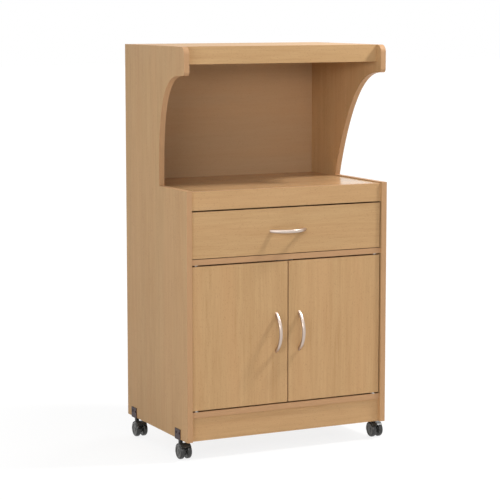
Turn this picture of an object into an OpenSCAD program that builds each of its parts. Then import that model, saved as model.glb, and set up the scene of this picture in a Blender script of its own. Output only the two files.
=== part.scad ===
// Rolling microwave cart in beech-look laminate: an open hutch with swept side
// panels over a counter, a drawer on roller runners, a cabinet with two inset
// doors on pivot pins, and four twin-wheel casters on brackets at the sides.
// Millimetres, +Z up, -Y is the front. The origin lies on the floor under the
// middle of the cart. Inside the modules y counts back from the front edges of
// the side panels, and place() moves the whole to the origin.

/* [Carcass] */
// Width over the side panels
body_w = 600; // [520:10:760]
// Depth of the side panels
body_d = 404; // [396:2:480]
// Height of the side panels
panel_h = 1037; // [960:1:1200]
// Thickness of the laminated boards
board_t = 15; // [14:1:18]
// Thickness of the hardboard backs
back_t = 3; // [2:0.5:4]
// How far the backs stop short of the side panels' outer faces
back_margin = 3; // [1:1:6]

/* [Fronts] */
// Gap beside the doors and the drawer front
reveal = 3; // [2:0.5:4]
// Gap over the doors and the drawer front, and under the doors
level_gap = 4; // [3:0.5:6]
// Gap under the drawer front
rest_gap = 2; // [1.5:0.5:4]
// Setback of the fronts, the apron, the divider and the bottom behind the side panels
front_setback = 6; // [4:1:14]
// Setback of the plinth behind the side panels
plinth_setback = 10; // [4:1:40]
// Height of the plinth
plinth_h = 63.5; // [50:0.5:90]
// Height of the doors
door_h = 383; // [360:0.5:440]
// Height of the drawer front
drawer_front_h = 122.5; // [114:0.5:150]
// Height of the apron under the counter's front
apron_h = 49; // [40:0.5:70]
// Height of the side panels' edges above the counter
sill_h = 3; // [0.5:0.5:6]

/* [Hutch] */
// Setback of the side panels' noses behind their lower front edges
nose_setback = 12; // [2:1:16]
// Height of the noses
nose_h = 75; // [60:1:90]
// Radius of the noses' upper corners
nose_top_r = 20; // [8:1:26]
// Radius of the noses' lower corners
nose_low_r = 10; // [4:1:14]
// Setback of the fascia behind the noses
fascia_setback = 24; // [10:1:40]
// Height of the fascia
fascia_h = 46; // [36:1:60]
// Depth of the left side's cut at the counter
left_cut_depth = 176; // [130:2:260]
// Fullness of the left side's cut below the nose
left_cut_upper = 3; // [2:0.1:4]
// Fullness of the left side's cut above the counter
left_cut_lower = 3; // [1:0.1:4]
// Depth of the right side's cut at the counter
right_cut_depth = 262; // [130:2:280]
// Fullness of the right side's cut below the nose
right_cut_upper = 2.4; // [2:0.1:4]
// Fullness of the right side's cut above the counter
right_cut_lower = 1.1; // [1:0.1:4]

/* [Drawer] */
// Thickness of the drawer's sides and back
drawer_board_t = 12; // [10:1:14]
// Height of the drawer's sides
drawer_side_h = 95; // [70:1:104]
// Room between the drawer and the cabinet's back
drawer_room = 30; // [12:1:90]
// Thickness of the drawer's bottom
drawer_bottom_t = 3; // [2:0.5:4]
// Depth of the grooves that hold the drawer's bottom
groove_d = 5; // [3:0.5:6]
// Width of the space for the runners at each side of the drawer
runner_space = 12.5; // [12:0.5:16]
// Thickness of the runners' steel
runner_t = 1; // [0.8:0.1:1.4]
// Radius of the runners' rollers
roller_r = 6; // [5:0.5:7]

/* [Doors] */
// Radius of the doors' pivot pins
pivot_r = 2.5; // [2:0.25:3]
// Depth of the pivot pins in the door
pivot_depth = 16; // [10:1:24]
// Length of the bushings in the boards
bushing_len = 9; // [6:1:12]
// Width of the magnetic catch
catch_w = 46; // [36:2:60]
// Height of the magnetic catch
catch_h = 13; // [10:1:18]

/* [Cabinet shelf] */
// Height of the shelf's underside above the cabinet's floor
shelf_lift = 180; // [120:1:240]
// Setback of the shelf behind the side panels' front edges
shelf_setback = 52; // [44:1:120]
// Play between the shelf and the side panels
shelf_play = 1; // [0.5:0.5:2]
// Radius of the shelf pins
pin_r = 2.5; // [2:0.25:3]
// Pitch of the shelf pins' holes
pin_pitch = 32; // [20:1:40]

/* [Handles] */
// Distance between the screws of a handle
handle_centres = 96; // [80:1:128]
// Reach of a handle in front of its board
handle_reach = 29; // [24:1:36]
// Thickness of a handle's bow at its middle
handle_t = 6.5; // [5.5:0.5:8]
// Width of a handle's bow
handle_w = 9.5; // [7.5:0.5:12]
// Length of a handle's feet on the board
handle_foot = 14; // [10:0.5:20]
// Distance of a door's handle from the door's free edge
handle_inset = 33; // [20:1:60]
// Radius of the handle screws
handle_screw_r = 2; // [1.5:0.25:2.25]

/* [Casters] */
// Radius of the wheels
wheel_r = 20; // [17:0.5:24]
// Width of one wheel
wheel_w = 12.5; // [10:0.5:15]
// Gap between the two wheels of a caster
wheel_gap = 9; // [7:0.5:11]
// Distance of the axle ahead of the swivel axis
trail = 20; // [18:0.5:24]
// Height from the top of the wheels to the side panels
neck_h = 11; // [9:0.5:20]
// Radius of the axles
axle_r = 2.5; // [2:0.25:3]
// Radius of the swivel stems
stem_r = 3; // [2.5:0.25:3.5]
// Width of the brackets
bracket_w = 33; // [30:1:48]
// Height of the brackets on the side panels
bracket_h = 27; // [24:1:44]
// Thickness of the brackets
bracket_t = 2; // [1.5:0.25:3]
// Distance of the front casters' swivel axes behind the front edges
caster_front_y = 62; // [50:1:100]
// Distance of the rear casters' swivel axes from the rear edges
caster_rear_inset = 46; // [30:1:80]

/* [Fasteners] */
// Radius of the wooden dowels
dowel_r = 4; // [3:0.5:4.5]
// Length of the wooden dowels
dowel_len = 30; // [24:1:36]
// Radius of the cam locks
cam_r = 7.5; // [6:0.5:8]
// Distance of a cam lock from the end of its board
cam_inset = 34; // [24:1:40]
// Distance of the outer cam locks from the boards' front and rear edges
cam_edge = 42; // [30:1:50]

/* [Hidden] */

$fn = 48;
left = -1;
right = 1;

// Colours
beech = [0.76, 0.61, 0.43];
beech_dark = [0.66, 0.51, 0.35];
hardboard = [0.60, 0.45, 0.31];
nickel = [0.80, 0.77, 0.74];
zinc = [0.70, 0.71, 0.72];
cream = [0.88, 0.86, 0.80];
nylon = [0.92, 0.91, 0.88];
caster_grey = [0.28, 0.28, 0.27];
bracket_brown = [0.30, 0.24, 0.24];

// Clearances
press = 0.05;      // round a pin, a bolt or a barrel that is pressed in
running = 0.06;    // round a pin or a shaft that turns
slack = 0.3;       // between faces that move past each other
bore_rest = 1;     // left free beyond the end of a blind bore
over = 1;          // a cut's reach past the face that it opens

// Levels above the floor
z_base = 2 * wheel_r + neck_h;
z_bottom = z_base + plinth_h;
z_cabinet = z_bottom + board_t;
z_door = z_cabinet + level_gap;
z_divider = z_door + door_h + level_gap;
z_drawer_bay = z_divider + board_t;
z_drawer_front = z_drawer_bay + rest_gap;
z_apron = z_drawer_front + drawer_front_h + level_gap;
z_counter = z_apron + apron_h;
z_sill = z_counter + sill_h;
z_top = z_base + panel_h;
z_nose = z_top - nose_h;

// Widths from the middle, and depths from the front edges
x_out = body_w / 2;
x_in = x_out - board_t;
y_fronts = front_setback + board_t;
drawer_len = body_d - y_fronts - drawer_room; // of the drawer's sides and of the runners
y_fascia = nose_setback + fascia_setback;
y_rear = body_d + back_t;

// Doors and their pivots: the pivot stands so far in from the door's edge that
// the door's corner clears the side panel as it swings
door_x0 = reveal / 2;
door_x1 = x_in - reveal;
corner_gap = 1;
swing = reveal - corner_gap;
pivot_inset = (pow(board_t / 2, 2) - pow(swing, 2)) / (2 * swing);
pivot_x = door_x1 - pivot_inset;
pivot_y = front_setback + board_t / 2;
flange_t = 1;
flange_w = 4;      // from the pivot pin to the rim of a bushing's flange
bushing_wall = 1.6;
flange_r = pivot_r + flange_w;
bushing_r = pivot_r + bushing_wall;

// The part's place: the handles are the foremost, the backs' nails the hindmost
nail_head_t = 0.8;
y_front_reach = front_setback - handle_reach;
y_middle = (y_front_reach + y_rear + nail_head_t) / 2;

module place() {
    translate([0, -y_middle, 0]) children();
}

// Box between two corners
module block(low, high) {
    translate(low) cube(high - low);
}

// Rod along X from x0 to x1
module rod_x(r, x0, x1) {
    translate([x0, 0, 0]) rotate([0, 90, 0]) cylinder(r = r, h = x1 - x0);
}

// Rod along Y from y0 to y1
module rod_y(r, y0, y1) {
    translate([0, y1, 0]) rotate([90, 0, 0]) cylinder(r = r, h = y1 - y0);
}

// Copies on both sides of the middle, the left one drawn and the right mirrored
module both_sides() {
    for (side = [left, right]) mirror([side == right ? 1 : 0, 0, 0]) children();
}

// Extrudes an outline drawn in y and z from x0 to x1
module slab_x(x0, x1) {
    translate([x0, 0, 0]) rotate([90, 0, 90]) linear_extrude(height = x1 - x0) children();
}

// ---- Cam joints and dowels between the boards and the side panels ----
// A spot is [y, z] on the side panel's inner face.
row_step = 30;     // from a cam lock to the dowel beside it
cam_depth = 12.2;
cam_channel_r = 4;
bolt_r = 3;
bolt_thread_r = 3.4;
bolt_thread_len = 9;
dowel_in_side = dowel_len / 3;
cross_w = 1.2;     // slots of a cam lock's cross
cross_depth = 1.5;

function flat_cams(y0, z) = [[y0 + cam_edge, z], [body_d - cam_edge, z]];
function flat_dowels(y0, z) = [[y0 + cam_edge + row_step, z], [body_d - cam_edge - row_step, z]];
function rail_cams(y, z0, h) = [[y, z0 + h * 2 / 3]];
function rail_dowels(y, z0, h) = [[y, z0 + h / 3]];

z_top_mid = z_top - board_t / 2;
z_counter_mid = z_counter - board_t / 2;
z_divider_mid = z_divider + board_t / 2;
z_bottom_mid = z_bottom + board_t / 2;
top_y0 = y_fascia + board_t;

top_cams = flat_cams(top_y0, z_top_mid);
top_dowels = flat_dowels(top_y0, z_top_mid);
counter_cams = flat_cams(y_fronts, z_counter_mid);
counter_dowels = flat_dowels(y_fronts, z_counter_mid);
divider_cams = flat_cams(front_setback, z_divider_mid);
divider_dowels = flat_dowels(front_setback, z_divider_mid);
bottom_cams = flat_cams(front_setback, z_bottom_mid);
bottom_dowels = flat_dowels(front_setback, z_bottom_mid);
fascia_cams = rail_cams(y_fascia + board_t / 2, z_top - fascia_h, fascia_h - board_t);
fascia_dowels = rail_dowels(y_fascia + board_t / 2, z_top - fascia_h, fascia_h - board_t);
apron_cams = rail_cams(front_setback + board_t / 2, z_apron, apron_h - board_t);
apron_dowels = rail_dowels(front_setback + board_t / 2, z_apron, apron_h - board_t);
plinth_cams = rail_cams(plinth_setback + board_t / 2, z_base, plinth_h);
plinth_dowels = rail_dowels(plinth_setback + board_t / 2, z_base, plinth_h);

all_flat_cams = concat(top_cams, counter_cams, divider_cams, bottom_cams);
all_rail_cams = concat(fascia_cams, apron_cams, plinth_cams);
all_dowels = concat(top_dowels, counter_dowels, divider_dowels, bottom_dowels,
    fascia_dowels, apron_dowels, plinth_dowels);

// Stands at each spot on the left panel's inner face, +X into the board, cam
// mouths facing down
module at_spots(spots) {
    for (spot = spots) translate([-x_in, spot[0], spot[1]]) children();
}

// The same with the cam mouths facing the rear
module at_rail_spots(spots) {
    at_spots(spots) rotate([90, 0, 0]) children();
}

module cam_lock() {
    difference() {
        translate([cam_inset, 0, -board_t / 2]) cylinder(r = cam_r - press, h = cam_depth - press);
        rod_x(cam_channel_r, 0, cam_inset + bolt_thread_r);
        for (turn = [0, 90])
            translate([cam_inset, 0, -board_t / 2]) rotate([0, 0, turn])
                cube([cam_r, cross_w, 2 * cross_depth], center = true);
    }
}

module cam_bolt() {
    rod_x(bolt_thread_r, -bolt_thread_len, 0);
    rod_x(bolt_r, 0, cam_inset - 2 * bolt_r);
    rod_x(bolt_r / 2, cam_inset - 2 * bolt_r, cam_inset - bolt_r);
    rod_x(bolt_r, cam_inset - bolt_r, cam_inset);
}

module cam_bores() {
    translate([cam_inset, 0, -board_t / 2 - over]) cylinder(r = cam_r, h = cam_depth + over);
    rod_x(cam_channel_r, -over, cam_inset);
}

module dowel() {
    rod_x(dowel_r - press, -dowel_in_side, dowel_len - dowel_in_side);
}

module dowel_bore() {
    rod_x(dowel_r, -over, dowel_len - dowel_in_side + bore_rest);
}

// Bores in one board for its cam locks, bolts and dowels at both ends
module flat_bores(cams, dowels) {
    both_sides() {
        at_spots(cams) cam_bores();
        at_spots(dowels) dowel_bore();
    }
}

module rail_bores(cams, dowels) {
    both_sides() {
        at_rail_spots(cams) cam_bores();
        at_rail_spots(dowels) dowel_bore();
    }
}

// ---- Nails that hold the backs, at [x, z] on the rear edges ----
nail_r = 0.9;
nail_len = 14;
nail_head_r = 2.5;
nail_crown_r = 1.75;
nails_up = 5;      // nails up each side of one back
nails_across = 3;  // nails across each board's rear edge
back_split = z_counter_mid;
back_joint = 0.5;

function between(a, b, n) = [for (i = [0:n - 1]) a + (b - a) * (i + 0.5) / n];

nail_x = x_out - board_t / 2;
side_nails = concat(
    [for (z = between(z_cabinet, back_split, nails_up)) [nail_x, z]],
    [for (z = between(z_counter, z_top - board_t, nails_up)) [nail_x, z]]
);
function row_nails(z) = [for (x = between(-x_in, x_in, nails_across)) [x, z]];
bottom_nails = row_nails(z_bottom_mid);
counter_nails = row_nails(back_split + board_t / 4);
top_nails = row_nails(z_top_mid);

module at_nails(spots) {
    for (spot = spots) translate([spot[0], 0, spot[1]]) children();
}

module nail() {
    rod_y(nail_r, y_rear - nail_len, y_rear);
    translate([0, y_rear, 0]) rotate([-90, 0, 0])
        cylinder(r1 = nail_head_r, r2 = nail_crown_r, h = nail_head_t);
}

module nail_bore() {
    rod_y(nail_r + press, y_rear - nail_len - bore_rest, y_rear + over);
}

// ---- Side panels ----
// Points of an arc from angle a0 to a1; short leaves out so many at its end
function arc(cy, cz, ry, rz, a0, a1, steps, short = 0) =
    [for (i = [0:steps - short]) let (a = a0 + (a1 - a0) * i / steps)
        [cy + ry * cos(a), cz + rz * sin(a)]];

corner_steps = 10;
sweep_steps = 56;
rim_steps = 6;

// Points of the swept cut from under the nose, where it runs level, to the counter
function sweep(start_y, depth, upper, lower) =
    [for (i = [0:sweep_steps]) let (a = 90 - 90 * i / sweep_steps)
        [start_y + (depth - start_y) * pow(cos(a), 2 / upper),
            z_sill + (z_nose - z_sill) * pow(sin(a), 2 / lower)]];

// Outline in y and z: nose, swept cut, and the low front beside the counter
module side_outline(depth, upper, lower) {
    start_y = nose_setback + nose_low_r;
    top_y = nose_setback + nose_top_r;
    top_z = z_top - nose_top_r;
    nose_z = z_nose + nose_low_r;
    polygon(concat(
        [[0, z_base], [body_d, z_base], [body_d, z_top]],
        arc(top_y, top_z, nose_top_r, nose_top_r, 90, 180, corner_steps),
        arc(start_y, nose_z, nose_low_r, nose_low_r, 180, 270, corner_steps, 1),
        sweep(start_y, depth, upper, lower),
        [[0, z_sill]]
    ));
}

// Bores in the left side panel, all from its inner face or its edges
module side_bores() {
    at_spots(concat(all_flat_cams, all_rail_cams))
        rod_x(bolt_thread_r + press, -bolt_thread_len - bore_rest, over);
    at_spots(all_dowels) rod_x(dowel_r, -dowel_in_side - bore_rest, over);
    at_pin_holes() rod_x(pin_r + press, -pin_in_side - bore_rest, over);
    at_runner_screws() rod_x(screw_r + press, -screw_len - bore_rest, over);
    translate([-nail_x, 0, 0]) for (spot = side_nails) translate([0, 0, spot[1]]) nail_bore();
    at_bracket_screws() rod_x(screw_r + press, -over, screw_len + bore_rest);
    at_caster_pair() cylinder(r = stem_head_r + stem_head_play, h = stem_head_t + bore_rest);
}

module left_side_panel() {
    color(beech) difference() {
        slab_x(-x_out, -x_in) side_outline(left_cut_depth, left_cut_upper, left_cut_lower);
        side_bores();
    }
}

module right_side_panel() {
    color(beech) difference() {
        slab_x(x_in, x_out) side_outline(right_cut_depth, right_cut_upper, right_cut_lower);
        mirror([1, 0, 0]) side_bores();
    }
}

// ---- Boards between the side panels ----
module top_panel() {
    color(beech) difference() {
        block([-x_in, top_y0, z_top - board_t], [x_in, body_d, z_top]);
        flat_bores(top_cams, top_dowels);
        at_nails(top_nails) nail_bore();
    }
}

module top_fascia() {
    color(beech) difference() {
        block([-x_in, y_fascia, z_top - fascia_h], [x_in, y_fascia + board_t, z_top]);
        rail_bores(fascia_cams, fascia_dowels);
    }
}

module counter_panel() {
    color(beech) difference() {
        block([-x_in, y_fronts, z_counter - board_t], [x_in, body_d, z_counter]);
        flat_bores(counter_cams, counter_dowels);
        at_nails(counter_nails) nail_bore();
    }
}

module counter_apron() {
    color(beech) difference() {
        block([-x_in, front_setback, z_apron], [x_in, y_fronts, z_counter]);
        rail_bores(apron_cams, apron_dowels);
    }
}

module divider_panel() {
    color(beech) difference() {
        block([-x_in, front_setback, z_divider], [x_in, body_d, z_drawer_bay]);
        flat_bores(divider_cams, divider_dowels);
        both_sides() translate([-pivot_x, pivot_y, z_divider - over])
            cylinder(r = bushing_r + press, h = bushing_len + bore_rest + over);
    }
}

module bottom_panel() {
    color(beech) difference() {
        block([-x_in, front_setback, z_bottom], [x_in, body_d, z_cabinet]);
        flat_bores(bottom_cams, bottom_dowels);
        at_nails(bottom_nails) nail_bore();
        both_sides() translate([-pivot_x, pivot_y, z_cabinet - bushing_len - bore_rest])
            cylinder(r = bushing_r + press, h = bushing_len + bore_rest + over);
    }
}

module plinth() {
    color(beech) difference() {
        block([-x_in, plinth_setback, z_base], [x_in, plinth_setback + board_t, z_bottom]);
        rail_bores(plinth_cams, plinth_dowels);
    }
}

module back_board(z0, z1, rows) {
    difference() {
        block([back_margin - x_out, body_d, z0], [x_out - back_margin, y_rear, z1]);
        both_sides() translate([-nail_x, 0, 0])
            for (spot = side_nails) translate([0, 0, spot[1]]) nail_bore();
        at_nails(rows) nail_bore();
    }
}

module hutch_back() {
    color(beech_dark) back_board(back_split, z_top - back_margin, concat(counter_nails, top_nails));
}

module cabinet_back() {
    color(hardboard) back_board(z_bottom, back_split - back_joint, bottom_nails);
}

// ---- Fasteners of the carcass ----
module cam_locks() {
    color(zinc) both_sides() {
        at_spots(all_flat_cams) cam_lock();
        at_rail_spots(all_rail_cams) cam_lock();
    }
}

module cam_bolts() {
    color(zinc) both_sides() at_spots(concat(all_flat_cams, all_rail_cams)) cam_bolt();
}

module wooden_dowels() {
    color(beech_dark) both_sides() at_spots(all_dowels) dowel();
}

module back_nails() {
    color(zinc) {
        both_sides() translate([-nail_x, 0, 0])
            for (spot = side_nails) translate([0, 0, spot[1]]) nail();
        at_nails(concat(bottom_nails, counter_nails, top_nails)) nail();
    }
}

// ---- Shelf in the cabinet ----
z_shelf = z_cabinet + shelf_lift;
shelf_gap_rear = 2;
pin_in_side = 8;
pin_proud = 9;
pin_collar_r = pin_r + 1;
pin_collar_t = shelf_play * 0.8;
pin_row_inset = 36;    // from the shelf's front and rear edges to the pins
pin_rows = [-1, 0, 1]; // holes below and above the pins in use

function pin_y() = [shelf_setback + pin_row_inset, body_d - shelf_gap_rear - pin_row_inset];

module at_pins() {
    for (y = pin_y()) translate([-x_in, y, z_shelf - pin_r]) children();
}

module at_pin_holes() {
    for (row = pin_rows) translate([0, 0, row * pin_pitch]) at_pins() children();
}

module cabinet_shelf() {
    color(beech) block([shelf_play - x_in, shelf_setback, z_shelf],
        [x_in - shelf_play, body_d - shelf_gap_rear, z_shelf + board_t]);
}

module shelf_pins() {
    color(zinc) both_sides() at_pins() {
        rod_x(pin_r, -pin_in_side, pin_proud);
        rod_x(pin_collar_r, 0, pin_collar_t);
    }
}

// ---- Roller runners ----
// In the space between the side panel and the drawer, from the panel inwards:
// the cabinet runner's web, the rollers, and the drawer runner's upright leg
screw_r = 1.8;
screw_len = 11;
screw_head_r = 3.2;
screw_head_t = 1.4;
runner_lift = 8;             // from the divider to the drawer's sides
runner_rise = 12;            // of the cabinet runner above its rollers' width
flange_rise = 3;             // of the drawer runner's flange above the rear roller
leg_gap = 1.2;               // from the drawer runner's leg to the cabinet runner's flanges
roller_play = 0.4;           // from a roller to the screw heads
runner_inset = 1;            // from the fronts' rear face to the cabinet runner
front_roller_inset = 2;
rear_roller_inset = 4;
roller_axle_r = 1.5;
runner_screw_front = 40;     // from the runner's ends to its first and last screw
runner_screw_rear = 30;
z_drawer = z_drawer_bay + runner_lift;
runner_h = 2 * roller_r + runner_rise;
track_z = z_drawer - runner_t;           // top of the cabinet runner's lower flange
flange_z = track_z + 2 * roller_r + slack + flange_rise; // under the drawer runner's flange
leg_x = x_in - runner_space + runner_t;  // outer face of the drawer runner's leg
flange_x = leg_x + leg_gap;              // inner edge of the cabinet runner's flanges
roller_x0 = flange_x + slack;
roller_x1 = x_in - runner_t - screw_head_t - roller_play;
y_runner = y_fronts + runner_inset;
y_runner_end = y_runner + drawer_len;
front_roller_y = y_runner + roller_r + front_roller_inset;
rear_roller_y = y_fronts + drawer_len - roller_r - rear_roller_inset;

function runner_screw_y() =
    let (first = y_runner + runner_screw_front, last = y_runner_end - runner_screw_rear)
    [first, (first + last) / 2, last];

module at_runner_screws() {
    for (y = runner_screw_y()) translate([-x_in, y, track_z + runner_h / 2]) children();
}

module cabinet_runner() {
    difference() {
        union() {
            block([-x_in, y_runner, track_z - runner_t],
                [runner_t - x_in, y_runner_end, track_z + runner_h]);
            block([-x_in, y_runner, track_z - runner_t], [-flange_x, y_runner_end, track_z]);
            block([-x_in, y_runner, track_z + runner_h - runner_t],
                [-flange_x, y_runner_end, track_z + runner_h]);
        }
        at_runner_screws() rod_x(screw_r + press, -over, runner_t + over);
        translate([-x_in, front_roller_y, flange_z - slack - roller_r])
            rod_x(roller_axle_r + press, -over, runner_t + over);
    }
}

module left_cabinet_runner() {
    color(cream) cabinet_runner();
}

module right_cabinet_runner() {
    color(cream) mirror([1, 0, 0]) cabinet_runner();
}

module runner_rollers() {
    color(nylon) both_sides() translate([0, front_roller_y, flange_z - slack - roller_r]) {
        rod_x(roller_r, -roller_x1, -roller_x0);
        rod_x(roller_axle_r, -x_in, -roller_x1);
    }
}

module pan_screw() {
    rod_x(screw_r, -screw_len, 0);
    rod_x(screw_head_r, 0, screw_head_t);
}

module runner_screws() {
    color(zinc) both_sides() at_runner_screws() translate([runner_t, 0, 0]) pan_screw();
}

// ---- Drawer ----
drawer_x = x_in - runner_space;  // outer faces of the drawer's sides
drawer_y1 = y_fronts + drawer_len;
bottom_lift = 8;                 // from the sides' lower edges to the bottom
groove_play = 0.1;
groove_wall = 0.5;               // left between a screw's bore and the groove
drawer_bottom_z = z_drawer + bottom_lift;
bottom_x = drawer_x - drawer_board_t + groove_d - groove_play;
drawer_cam_low = 26;             // from the sides' lower edges to the lower cams
drawer_cam_high = 16;            // from the sides' upper edges to the upper cams
drawer_cam_r = 5;
drawer_cam_inset = 22;
drawer_cam_floor = 3;
drawer_bolt_r = 1.9;
drawer_bolt_skin = 5;            // left between a bolt's bore and the front's face
drawer_screw_low = 30;           // from the sides' edges to the screws of the back
drawer_screw_high = 20;
long_screw_len = 33;
short_screw_len = drawer_board_t - groove_d - bore_rest - groove_wall;
lower_screw_front = 50;          // from the drawer runner's ends to its screws
lower_screw_rear = 60;
lower_screw_rise = 8;
z_drawer_top = z_drawer + drawer_side_h;

// Stands at the drawer's cam bolts on the drawer front's rear face, left side
module at_drawer_bolts() {
    for (z = [z_drawer + drawer_cam_low, z_drawer_top - drawer_cam_high])
        translate([drawer_board_t / 2 - drawer_x, y_fronts, z]) children();
}

// Stands at the screws through the left drawer side into the drawer's back
module at_drawer_screws() {
    for (z = [z_drawer + drawer_screw_low, z_drawer_top - drawer_screw_high])
        translate([-drawer_x, drawer_y1 - drawer_board_t / 2, z]) children();
}

// Stands at the screws that hold the left drawer runner
module at_drawer_runner_screws() {
    for (y = [y_fronts + lower_screw_front, drawer_y1 - lower_screw_rear])
        translate([-drawer_x, y, z_drawer + lower_screw_rise]) children();
}

module bottom_groove() {
    block([-bottom_x - groove_play, y_fronts - groove_d, drawer_bottom_z - groove_play],
        [bottom_x + groove_play, drawer_y1 + over, drawer_bottom_z + drawer_bottom_t + groove_play]);
}

module drawer_front() {
    color(beech) difference() {
        block([-door_x1, front_setback, z_drawer_front],
            [door_x1, y_fronts, z_drawer_front + drawer_front_h]);
        bottom_groove();
        both_sides() at_drawer_bolts() rod_y(drawer_bolt_r + press, drawer_bolt_skin - board_t, over);
        translate([0, front_setback, z_drawer_front + drawer_front_h / 2]) handle_bores(0);
    }
}

module drawer_side() {
    difference() {
        block([-drawer_x, y_fronts, z_drawer],
            [drawer_board_t - drawer_x, drawer_y1, z_drawer_top]);
        bottom_groove();
        at_drawer_bolts() {
            rod_y(drawer_bolt_r + press, -over, drawer_cam_inset);
            translate([0, drawer_cam_inset, 0])
                rod_x(drawer_cam_r, drawer_cam_floor - drawer_board_t / 2, drawer_board_t / 2 + over);
        }
        at_drawer_screws() rod_x(screw_r + press, -over, drawer_board_t + over);
        at_drawer_screws() rod_x(screw_head_r + press, -over, screw_head_t);
        at_drawer_runner_screws() rod_x(screw_r + press, -over, short_screw_len + bore_rest);
    }
}

module drawer_left_side() {
    color(beech) drawer_side();
}

module drawer_right_side() {
    color(beech) mirror([1, 0, 0]) drawer_side();
}

module drawer_back() {
    back_x = drawer_x - drawer_board_t;
    color(beech) difference() {
        block([-back_x, drawer_y1 - drawer_board_t, drawer_bottom_z + drawer_bottom_t],
            [back_x, drawer_y1, z_drawer_top]);
        both_sides() at_drawer_screws() rod_x(screw_r + press, 0, long_screw_len + bore_rest);
    }
}

module drawer_bottom() {
    color(beech_dark) block([-bottom_x, y_fronts - groove_d + groove_play, drawer_bottom_z],
        [bottom_x, drawer_y1, drawer_bottom_z + drawer_bottom_t]);
}

module drawer_runner() {
    difference() {
        union() {
            block([-leg_x, y_fronts + slack, z_drawer - runner_t],
                [-drawer_x, drawer_y1, flange_z + runner_t]);
            block([-leg_x, y_fronts + slack, z_drawer - runner_t],
                [drawer_board_t - drawer_x, drawer_y1, z_drawer]);
            block([-roller_x1, y_fronts + slack, flange_z], [-drawer_x, drawer_y1, flange_z + runner_t]);
        }
        at_drawer_runner_screws() rod_x(screw_r + press, -runner_t - over, over);
        translate([0, rear_roller_y, track_z + slack + roller_r])
            rod_x(roller_axle_r + press, -leg_x - over, -drawer_x + over);
    }
}

module left_drawer_runner() {
    color(cream) drawer_runner();
}

module right_drawer_runner() {
    color(cream) mirror([1, 0, 0]) drawer_runner();
}

module drawer_rollers() {
    color(nylon) both_sides() translate([0, rear_roller_y, track_z + slack + roller_r]) {
        rod_x(roller_r, -roller_x1, -roller_x0);
        rod_x(roller_axle_r, -roller_x0, -drawer_x);
    }
}

module drawer_fasteners() {
    color(zinc) both_sides() {
        at_drawer_bolts() {
            rod_y(drawer_bolt_r, drawer_bolt_skin + bore_rest - board_t, drawer_cam_inset - drawer_cam_r);
            translate([0, drawer_cam_inset, 0])
                rod_x(drawer_cam_r - press, drawer_cam_floor + press - drawer_board_t / 2,
                    drawer_board_t / 2);
        }
        at_drawer_screws() {
            rod_x(screw_r, screw_head_t, long_screw_len);
            rod_x(screw_head_r, 0, screw_head_t);
        }
        at_drawer_runner_screws() {
            rod_x(screw_r, 0, short_screw_len);
            rod_x(screw_r, -runner_t, 0);
        }
    }
}

// ---- Handles ----
// Drawn with the screws along x and the board's face at y = 0, bowing to -Y
handle_screw_depth = 5.5;
handle_screw_rest = 0.5;
handle_head_r = 3.8;
handle_head_t = 2.4;

// Disc whose edge spans a chord on the board's face and rises by so much before it
module bow_disc(chord, rise, thickness) {
    r = (pow(chord / 2, 2) + pow(rise, 2)) / (2 * rise);
    translate([0, r - rise, 0]) cylinder(r = r, h = thickness, center = true, $fn = 144);
}

module at_handle_screws(turn) {
    rotate([0, turn, 0]) for (end = [-1, 1]) translate([end * handle_centres / 2, 0, 0]) children();
}

module handle(turn) {
    difference() {
        rotate([0, turn, 0]) intersection() {
            difference() {
                bow_disc(handle_centres + handle_foot, handle_reach, handle_w);
                bow_disc(handle_centres - handle_foot, handle_reach - handle_t, 2 * handle_w);
            }
            block([-handle_centres, -handle_reach - over, -handle_w], [handle_centres, 0, handle_w]);
        }
        at_handle_screws(turn) rod_y(handle_screw_r + press, -handle_screw_depth, over);
    }
}

module handle_screws(turn) {
    at_handle_screws(turn) {
        rod_y(handle_screw_r, handle_screw_rest - handle_screw_depth, board_t);
        rod_y(handle_head_r, board_t, board_t + handle_head_t);
    }
}

module handle_bores(turn) {
    at_handle_screws(turn) rod_y(handle_screw_r + 2 * press, -over, board_t + over);
}

module at_drawer_handle() {
    translate([0, front_setback, z_drawer_front + drawer_front_h / 2]) children();
}

module drawer_handle() {
    color(nickel) at_drawer_handle() handle(0);
}

module drawer_handle_screws() {
    color(zinc) at_drawer_handle() handle_screws(0);
}

// ---- Doors, drawn for the left side ----
collar_play = 0.1;
collar_t = level_gap - flange_t - collar_play;
collar_w = 2;       // from the pivot pin to the rim of its collar
collar_r = pivot_r + collar_w;
strike_t = 1.2;
strike_w = 16;
strike_screw_r = 1.5;

module at_door_handle() {
    translate([-door_x0 - handle_inset, front_setback, z_door + door_h / 2]) children();
}

module at_strike() {
    translate([-catch_w / 4 - door_x0, y_fronts, z_door + door_h - catch_h / 2]) children();
}

module door() {
    difference() {
        block([-door_x1, front_setback, z_door], [-door_x0, y_fronts, z_door + door_h]);
        translate([-pivot_x, pivot_y, z_door - over])
            cylinder(r = pivot_r + press, h = pivot_depth + over);
        translate([-pivot_x, pivot_y, z_door + door_h - pivot_depth])
            cylinder(r = pivot_r + press, h = pivot_depth + over);
        at_door_handle() handle_bores(90);
        at_strike() rod_y(strike_screw_r + press, -screw_len, over);
    }
}

module door_pivots() {
    pin_reach = pivot_depth + level_gap + bushing_len - bore_rest;
    translate([-pivot_x, pivot_y, z_door]) {
        translate([0, 0, pivot_depth - press - pin_reach]) cylinder(r = pivot_r, h = pin_reach);
        translate([0, 0, -collar_t]) cylinder(r = collar_r, h = collar_t);
        translate([0, 0, door_h - pivot_depth + press]) cylinder(r = pivot_r, h = pin_reach);
    }
}

module door_strike() {
    at_strike() {
        block([-strike_w / 2, 0, -catch_h / 2], [strike_w / 2, strike_t, catch_h / 2]);
        rod_y(strike_screw_r, bore_rest - screw_len, 0);
    }
}

module left_door() {
    color(beech) door();
}

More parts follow.
